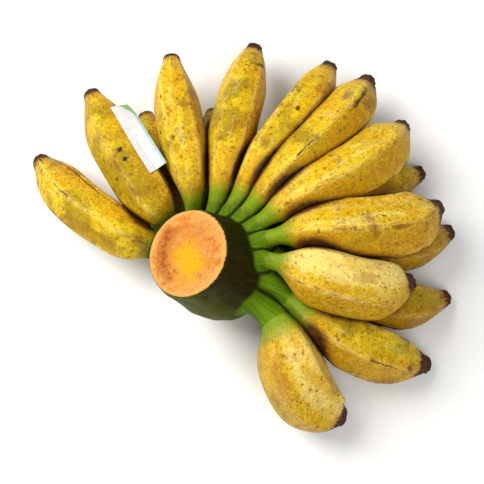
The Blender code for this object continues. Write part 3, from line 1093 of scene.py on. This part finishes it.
def drawn_out(sheet, turn, along, spread, slowness):
    """A place for noise that is drawn out along a piece and closes round it."""
    right, far = (sheet.maths(wave, turn) * spread for wave in ("COSINE", "SINE"))
    return sheet.node("ShaderNodeCombineXYZ", {}, {0: right, 1: far, 2: along * slowness})


def streaks(sheet, around, along, scale):
    """Noise drawn out along a finger."""
    return sheet.noise(drawn_out(sheet, around, along, 1.6, 0.012), scale, 4.0, 0.6)


# %% Marks that belong to one finger
# Number of the finger, distance along it and angle round it, half length, half width, colour
# and strength
MARKS = [
    (2, 65.5, 92.0, 1.7, 2.3, TIP_BLACK, 0.95),
    (2, 59.0, 94.0, 1.7, 2.0, TIP_BLACK, 0.95),
    (6, 108.0, 76.0, 13.0, 1.6, DEEP_BROWN, 0.85),
    (6, 104.0, 108.0, 5.5, 4.0, ASHEN, 0.60),
    (5, 77.5, 92.0, 2.2, 1.6, DEEP_BROWN, 0.85),
    (4, 105.0, 56.0, 2.0, 5.0, BARK, 0.75),
    (8, 82.0, 74.0, 8.0, 1.8, RUST, 0.75),
    (10, 46.0, 56.0, 13.0, 5.0, SCUFF, 0.62),
    (9, 62.0, 96.0, 8.0, 5.0, SCUFF, 0.45),
    (1, 76.0, 40.0, 30.0, 1.1, BARK, 0.65),
    (1, 50.0, 150.0, 26.0, 7.0, RUST, 0.45),
]


def hand_marks(coat, skin):
    """Scars and scuffs that stand in one known place each."""
    sheet = coat.sheet
    which = sheet.note("finger")
    for number, at, angle, half_length, half_width, tone, strength in MARKS:
        here = sheet.maths("COMPARE", which, float(number), 0.5)
        turned = sheet.maths("SINE", (skin.around - math.radians(angle)) * 0.5) * skin.girth * 2.0
        lengthwise, sideways = (skin.along - at) / half_length, turned / half_width
        apart = sheet.maths("SQRT", lengthwise * lengthwise + sideways * sideways)
        frayed = apart + (skin.mottle - 0.5) * 2.4 + (skin.grain - 0.5) * 1.2
        coat.glaze(tone, sheet.step(frayed, 1.25, 0.55) * here * strength)


# %% What every layer of the peel reads
PEEL_NOTES = ("along", "from_tip", "around", "ridge", "crowded", "girth", "ripeness", "past_foot", "black")


def read_peel(sheet):
    """The notes on the peel, and noises from slow clouds to a fine grain."""
    skin = SimpleNamespace(**{name: sheet.note(name) for name in PEEL_NOTES})
    skin.place = sheet.place()
    skin.height_up = sheet.node("ShaderNodeSeparateXYZ", {}, {0: skin.place}, 2)
    skin.clouds = sheet.noise(skin.place, 24.0, 4.0, 0.55)
    skin.patches = sheet.noise(skin.place, 70.0, 4.0, 0.6)
    skin.mottle = sheet.noise(skin.place, 210.0, 5.0, 0.7)
    skin.grain = sheet.noise(skin.place, 640.0, 3.0, 0.7)
    skin.drawn = streaks(sheet, skin.around, skin.along, 2.2)
    skin.fine_drawn = streaks(sheet, skin.around, skin.along, 7.0)
    return skin


# %% The ripe ground
def ripe_ground(coat, skin):
    """Gold with lemon and olive clouds, amber painted shade on one side, cream cheeks kept to the lit side,
    and a fine mottle.
    """
    sheet = coat.sheet
    coat.glaze(LEMON, sheet.step(skin.clouds * 0.6 + skin.drawn * 0.5, 0.46, 0.64))
    clouded = skin.patches * 0.55 + skin.clouds * 0.45 - skin.ripeness * 0.14
    coat.glaze(OLIVE, sheet.step(clouded, 0.45, 0.58) * 0.80)
    # Painted shade: amber on the same side of every finger, the right-hand side seen from its root.
    shade_side = sheet.maths("COSINE", skin.around - math.radians(20.0))
    skin.shaded = sheet.step(shade_side + (skin.mottle - 0.5) * 0.8, 0.35, 0.75)
    coat.glaze(AMBER, skin.shaded * 0.50)
    # Subtracting the painted shade keeps the cream cheeks to the lit side, a painted lightening of that
    # side.
    cheek = skin.patches * 0.35 + skin.drawn * 0.5 + skin.ripeness * 0.15 - skin.shaded * 0.15
    coat.glaze(CREAM, sheet.step(cheek, 0.46, 0.60) * 0.60)
    coat.glaze(AMBER, sheet.step(skin.patches * -0.6 + skin.mottle * 0.4, -0.09, -0.02) * 0.30)
    skin.tones = sheet.step(skin.mottle * 0.6 + skin.grain * 0.4, 0.40, 0.58)
    coat.glaze(RUST, 0.48 - skin.tones * 0.48)
    coat.glaze(STRAW, sheet.step(skin.mottle * 0.3 + skin.grain * 0.7, 0.52, 0.64) * 0.45)


# %% Wear along the corners, and bruises
def worn_corners(coat, skin):
    """Pale lines along the corners, rubbed brown in places and dark where they wore through."""
    sheet = coat.sheet
    pale_line = sheet.step(skin.ridge, 0.72, 0.95) * sheet.step(skin.fine_drawn, 0.40, 0.60)
    coat.glaze(CREAM, pale_line * 0.34)
    rubbed = sheet.step(skin.fine_drawn * 0.6 + skin.patches * 0.5, 0.575, 0.635)
    skin.worn = sheet.step(skin.ridge, 0.80, 0.94) * rubbed
    coat.glaze(RUST, skin.worn * 0.70)
    rubbed_through = sheet.step(skin.drawn * 0.6 + skin.patches * 0.5, 0.615, 0.66)
    coat.glaze(BARK, sheet.step(skin.ridge, 0.88, 0.98) * rubbed_through * 0.85)


def bruises(coat, skin):
    """Rusty and dusky patches, and fair ones on the ripest fingers, kept to the side not painted in shade.
    """
    sheet = coat.sheet
    bruise = skin.patches * 0.5 + skin.mottle * 0.5 - skin.ripeness * 0.02
    coat.glaze(RUST, sheet.step(bruise, 0.545, 0.62) * 0.62)
    dusky = skin.clouds * 0.5 + skin.patches * 0.3 + skin.mottle * 0.2 - skin.ripeness * 0.05
    coat.glaze(DUSK, sheet.step(dusky, 0.50, 0.60) * skin.tones * 0.38)
    # Painted lightening: the fair cream is held off the side painted in shade.
    fair = sheet.step(skin.ripeness + skin.clouds - 0.5, 0.55, 1.05) * sheet.step(skin.shaded, 0.8, 0.2)
    coat.glaze(CREAM, fair * 0.36)


# %% Freckles of three sizes
# How many to the metre, radius in cells, how rare they are, colour and strength
FRECKLE_KINDS = [
    (420.0, 0.34, 0.45, FRECKLE, 0.62),
    (210.0, 0.30, 0.62, FRECKLE, 0.60),
    (110.0, 0.22, 0.95, BARK, 0.75),
]


def freckled(coat, skin):
    """Freckles of every kind, denser low on the hand."""
    sheet = coat.sheet
    low = sheet.step(skin.height_up + (skin.patches - 0.5) * 0.02, 0.034, 0.012)
    dense = sheet.noise(skin.place, 40.0, 2.0) - 0.5 + low * 0.35
    for scale, radius, keep, tone, strength in FRECKLE_KINDS:
        specks = freckles(sheet, skin.place, scale, radius, keep, dense)
        coat.glaze(tone, specks * strength)
    skin.large_specks = specks


# %% Pressed and shaded sides, green neck and black tip
def pressed_and_shaded_sides(coat, skin):
    """Brown to black where a finger leans on the next, and the same browns as painted shade on its underside
    and deep in the hand.
    """
    sheet = coat.sheet
    near_neck = sheet.step(skin.past_foot, 48.0, 20.0) * sheet.step(skin.past_foot, 8.0, 16.0)
    # Real browning where fingers press, and painted shade on undersides and in the deep gaps.
    skin.tight = skin.crowded * (1.0 + near_neck * 0.45)
    skin.lean = sheet.step(skin.tight + (skin.mottle - 0.5) * 0.5, 0.42, 0.85)
    coat.glaze(RUST, skin.lean * 0.65)
    coat.glaze(DEEP_BROWN, sheet.step(skin.tight + (skin.mottle - 0.5) * 0.4, 0.62, 0.92) * 0.94)


def green_neck(coat, skin):
    """Green towards the crown, a deeper green where fingers press and as painted shade in the gaps, with a
    few rusty spots where it ends.
    """
    sheet = coat.sheet
    ragged = (skin.mottle - 0.5) * 9.0 + (skin.fine_drawn - 0.5) * 12.0
    green = sheet.step(skin.past_foot + ragged, 17.0, 4.0)
    coat.glaze(NECK_GREEN, green * 0.85)
    bright = green * sheet.step(skin.fine_drawn, 0.44, 0.60) * sheet.step(skin.tight, 0.7, 0.3)
    coat.glaze(BRIGHT_GREEN, bright * 0.7)
    # Deep green where fingers press together, and as painted shade under them and in the gaps.
    deep = sheet.step(skin.tight * 1.2 + (skin.mottle - 0.5), 0.40, 0.95) * green
    coat.glaze(DEEP_GREEN, deep * 0.80)
    foot = sheet.step(skin.past_foot + ragged * 1.6, 30.0, 10.0) * (1.0 - green)
    coat.glaze(RUST, foot * sheet.step(skin.mottle + skin.patches * 0.5, 0.70, 0.86) * 0.55)


def black_tip(coat, skin):
    """A stained, ragged edge, and the dead stub in front of it."""
    sheet = coat.sheet
    blotch = (skin.mottle - 0.5) * 9.0 + (skin.fine_drawn - 0.5) * 16.0 + (skin.patches - 0.5) * 14.0
    from_stub = skin.from_tip - skin.black
    coat.glaze(RUST, sheet.step(from_stub + blotch, 7.0, -1.0) * 0.70)
    skin.dead = sheet.step(from_stub + blotch * 0.8, 1.6, -1.0)
    stub = sheet.step(skin.grain * 0.6 + skin.fine_drawn * 0.5, 0.50, 0.70)
    coat.glaze(sheet.mix(stub, TIP_BLACK, TIP_BROWN), skin.dead * 0.94)


# %% Paint the peel
def finish_peel(material):
    sheet, shader = open_finish(material, 0.5, 0.15)
    skin, coat = read_peel(sheet), Coat(sheet, GOLD)
    for layer in (ripe_ground, worn_corners, bruises, freckled, pressed_and_shaded_sides, green_neck, black_tip):
        layer(coat, skin)
    hand_marks(coat, skin)
    feed(sheet, shader, "Base Color", coat.colour)
    rough = 0.42 + skin.mottle * 0.16 + skin.dead * 0.25 + skin.worn * 0.12 + skin.lean * 0.1
    feed(sheet, shader, "Roughness", rough)
    pores = sheet.noise(skin.place, 900.0, 3.0, 0.6)
    relief = pores * 0.35 + skin.mottle * 0.6 + skin.fine_drawn * 0.4 - skin.large_specks * 0.25
    roughen(sheet, shader, relief, 0.35)


finish_peel(peel)
print("nodes in the peel:", len(peel.node_tree.nodes))

# %% [markdown]
# ## The stalk's two finishes
#
# The same lump shows two surfaces: a green skin with long fibres in it, with a painted sheen on
# its lit side, painted shade down its right side and painted shade nearly black in the creases
# between the necks, and the cut end, dried to a peach colour with a stained arc and a bright
# core. One material paints both, and the note that the mesh carries says which is which.

# %% Colours of the stalk
STALK_GREEN = paint(78, 78, 14)
STALK_SHEEN = paint(118, 112, 34)
STALK_DARK = paint(30, 24, 6)
STALK_MAROON = paint(44, 16, 14)
SEAM_SHADE = paint(20, 22, 4)
RIM_PALE = paint(216, 158, 86)
PITH = paint(190, 114, 40)
CORE = paint(234, 162, 20)
STAIN = paint(134, 58, 16)
FIBRE_DARK = paint(160, 86, 26)


# %% Paint the cut face
def cut_face_colour(sheet, place, right, far):
    """The dried end of the stalk: rim, pith, stained arc, core and dots."""
    grain = sheet.noise(place, 260.0, 5.0, 0.7)
    wide_grain = sheet.noise(place, 70.0, 3.0, 0.6)
    radius = sheet.maths("SQRT", right * right + far * far)
    uneven = radius + (wide_grain - 0.5) * 9.0
    peach = sheet.step(grain * 0.6 + wide_grain * 0.4 + (radius - 20.0) * 0.006, 0.40, 0.60)
    coat = Coat(sheet, PITH)
    coat.glaze(RIM_PALE, peach)
    core_right, core_far = right - 1.0, far + 6.0
    from_core = sheet.maths("SQRT", core_right * core_right * 1.2 + core_far * core_far * 0.7)
    core = sheet.step(from_core + (wide_grain - 0.5) * 16.0 + (grain - 0.5) * 26.0, 16.0, 6.0)
    coat.glaze(CORE, core * 0.90)
    turn = sheet.maths("ARCTAN2", far, right * -1.0)
    on_left = sheet.step(sheet.maths("ABSOLUTE", turn + (wide_grain - 0.5) * 0.8), 1.25, 0.70)
    arc = sheet.step(sheet.maths("ABSOLUTE", uneven + (grain - 0.5) * 12.0 - 19.0), 6.4, 1.8) * on_left
    coat.glaze(STAIN, arc * sheet.step(grain, 0.40, 0.58, 0.15, 0.90))
    browned = sheet.step(grain * 0.5 + wide_grain * 0.5, 0.50, 0.62) * sheet.step(radius, 8.0, 18.0)
    coat.glaze(FIBRE_DARK, browned * 0.55)
    dots = freckles(sheet, place, 430.0, 0.34, 0.62, wide_grain - 0.5)
    coat.glaze(STAIN, dots * 0.45)
    rim = sheet.step(radius + (wide_grain - 0.5) * 6.0, 24.5, 27.0)
    coat.glaze(RIM_PALE, rim * 0.75)
    coat.glaze(FIBRE_DARK, sheet.step(radius, 27.9, 28.8) * 0.85)
    return coat.colour, grain


# %% Paint the stalk
def finish_crown(material):
    sheet, shader = open_finish(material, 0.5, 0.06)
    place = sheet.place()
    depth, near_neck = sheet.note("depth"), sheet.note("near_neck")
    right, far, cut = sheet.note("face_right"), sheet.note("face_far"), sheet.note("cut_face")
    turn = sheet.maths("ARCTAN2", far, right)
    fibres = sheet.noise(drawn_out(sheet, turn, depth, 3.0, 0.015), 5.0, 6.0, 0.7)
    mottle = sheet.noise(place, 90.0, 4.0, 0.6)

    coat = Coat(sheet, STALK_GREEN)
    coat.glaze(DEEP_GREEN, sheet.step(fibres + mottle * 0.3, 0.5, 0.85))
    # Painted sheen: a grey-green lightening on the stalk's lower-left side, where the light falls.
    lit_side = sheet.step(right * -0.9 - far * 0.8 + (mottle - 0.5) * 24.0, 8.0, 36.0)
    coat.glaze(STALK_SHEEN, lit_side * sheet.step(fibres, 0.35, 0.65) * 0.50)
    # Painted shade: darker down the right side of the stalk, away from the light.
    dark = sheet.step(right + (mottle - 0.5) * 20.0, 0.0, 22.0)
    coat.glaze(STALK_DARK, dark * 0.75)
    maroon = sheet.step(right * 0.8 - far * 0.3 + (fibres - 0.5) * 40.0, 20.0, 34.0)
    coat.glaze(STALK_MAROON, maroon * 0.70)
    scuffed = sheet.step(mottle * 0.6 + fibres * 0.5, 0.58, 0.68)
    coat.glaze(STALK_DARK, scuffed * 0.60)
    fresh = sheet.step(near_neck + (mottle - 0.5) * 4.0, 10.0, 6.4) * sheet.step(depth, 18.0, 34.0)
    coat.glaze(NECK_GREEN, fresh * 0.95)
    coat.glaze(BRIGHT_GREEN, fresh * sheet.step(mottle, 0.40, 0.60, 0.0, 0.35))
    coat.glaze(DEEP_GREEN, fresh * sheet.step(fibres + mottle * 0.4, 0.62, 0.82) * 0.5)
    # Painted shade: nearly black in the creases between the necks, where they run into the stalk.
    seam = sheet.step(sheet.note("from_seam") + (mottle - 0.5) * 2.0, 2.4, 0.5)
    beside_neck = sheet.step(near_neck, 2.6, 4.2) * sheet.step(near_neck, 10.0, 7.0)
    between = seam * sheet.step(depth, 18.0, 30.0) * beside_neck
    coat.glaze(SEAM_SHADE, between * 0.92)

    face, grain = cut_face_colour(sheet, place, right, far)
    coat.glaze(face, cut)
    feed(sheet, shader, "Base Color", coat.colour)
    feed(sheet, shader, "Roughness", 0.55 + cut * 0.20 + mottle * 0.1)
    roughen(sheet, shader, fibres * (1.0 - cut) + grain * cut * 0.8, 0.7)


crown_finish = bpy.data.materials.new("stalk")
finish_crown(crown_finish)
crown_mesh.materials.clear()
crown_mesh.materials.append(crown_finish)
show("crown_skin", crown_mesh, "crown_stalk")
print("nodes in the stalk:", len(crown_finish.node_tree.nodes))


# %% Paint the fibre ends
def finish_fibres(material):
    sheet, shader = open_finish(material, 0.7, 0.3)
    place = sheet.place()
    draw = sheet.noise(place, 600.0, 1.0)
    coat = Coat(sheet, RIM_PALE)
    coat.glaze(PITH, sheet.step(draw, 0.42, 0.60))
    coat.glaze(FIBRE_DARK, sheet.step(draw, 0.60, 0.68) * 0.8)
    feed(sheet, shader, "Base Color", coat.colour)


finish_fibres(fibre_finish)
show("fibre_ends", fibre_mesh, None)
print("fibre ends shown")

# %% [markdown]
# ## Paper
#
# Cheap coated paper is nearly white, a little uneven, and carries a printed border. Only plain
# colour is printed here: a thin edge along the free side and a patch at the far corner.

# %% Paint the label
PAPER_WHITE = paint(212, 212, 210)
PAPER_GREY = paint(184, 187, 188)
EDGE_TEAL = paint(118, 172, 158)
CORNER_GREEN = paint(112, 158, 72)


def finish_label(material):
    sheet, shader = open_finish(material, 0.55, 0.4)
    place = sheet.place()
    across, lengthwise = sheet.note("across"), sheet.note("lengthwise")
    pulp = sheet.noise(place, 300.0, 4.0, 0.6)
    coat = Coat(sheet, PAPER_WHITE)
    coat.glaze(PAPER_GREY, sheet.step(pulp, 0.35, 0.75) * 0.5)
    edge = sheet.step(across, 0.90, 0.93)
    coat.glaze(EDGE_TEAL, edge * 0.70)
    corner = sheet.step(lengthwise + across * 0.9, 1.62, 1.65)
    coat.glaze(CORNER_GREEN, corner * 0.85)
    feed(sheet, shader, "Base Color", coat.colour)
    feed(sheet, shader, "Roughness", 0.45 + pulp * 0.2)
    roughen(sheet, shader, pulp, 0.08)


label_finish = bpy.data.materials.new("paper")
finish_label(label_finish)
label_mesh.materials.append(label_finish)
label_mesh.shade_smooth()
label_mesh.set_sharp_from_angle(angle=math.radians(40))
show("label_strip", label_mesh, "paper_label")
print("label shown")

# %% [markdown]
# ## Floor and light
#
# The hand lies on a plain pale floor under soft studio light. The gaps between the fingers are
# nearly black, so most of the light comes from one broad lamp at the upper left. A weaker one
# fills from the lower right, and the surroundings give only a little.

# %% The floor
HALF_FLOOR = 3000.0
floor_corners = [(x * HALF_FLOOR, y * HALF_FLOOR, 0.0) for x, y in ((-1, -1), (1, -1), (1, 1), (-1, 1))]
floor_mesh = mesh_of("floor", floor_corners, [(0, 1, 2, 3)])
floor = put_in_scene("floor", floor_mesh)
floor_finish = bpy.data.materials.new("floor")
_, floor_shader = open_finish(floor_finish, 0.8, 0.2)
floor_shader.inputs["Base Color"].default_value = (0.86, 0.86, 0.85, 1.0)
floor_mesh.materials.append(floor_finish)
print("floor laid")


# %% The lights
def soft_light(name, place, size, power, colour=(1.0, 1.0, 1.0)):
    """A square lamp that looks at the hand."""
    data = bpy.data.lights.new(name, "AREA")
    data.size = size
    data.energy = power
    data.color = colour
    made = put_in_scene(name, data)
    made.location = place
    towards_hand = Vector((0.0, 0.0, AIM_HEIGHT * MM)) - Vector(place)
    made.rotation_euler = towards_hand.to_track_quat("-Z", "Y").to_euler()


bpy.context.scene.view_settings.view_transform = "Standard"
soft_light("key", (-0.80, 0.45, 1.05), 0.85, 22.0, (1.0, 0.98, 0.95))
soft_light("fill", (0.35, -0.7, 1.2), 0.9, 9.0)
world = bpy.data.worlds.new("studio")
world.use_nodes = True
surroundings = world.node_tree.nodes["Background"].inputs
surroundings["Color"].default_value = (1.0, 0.99, 0.97, 1.0)
surroundings["Strength"].default_value = 0.35
bpy.context.scene.world = world
print("lights set")
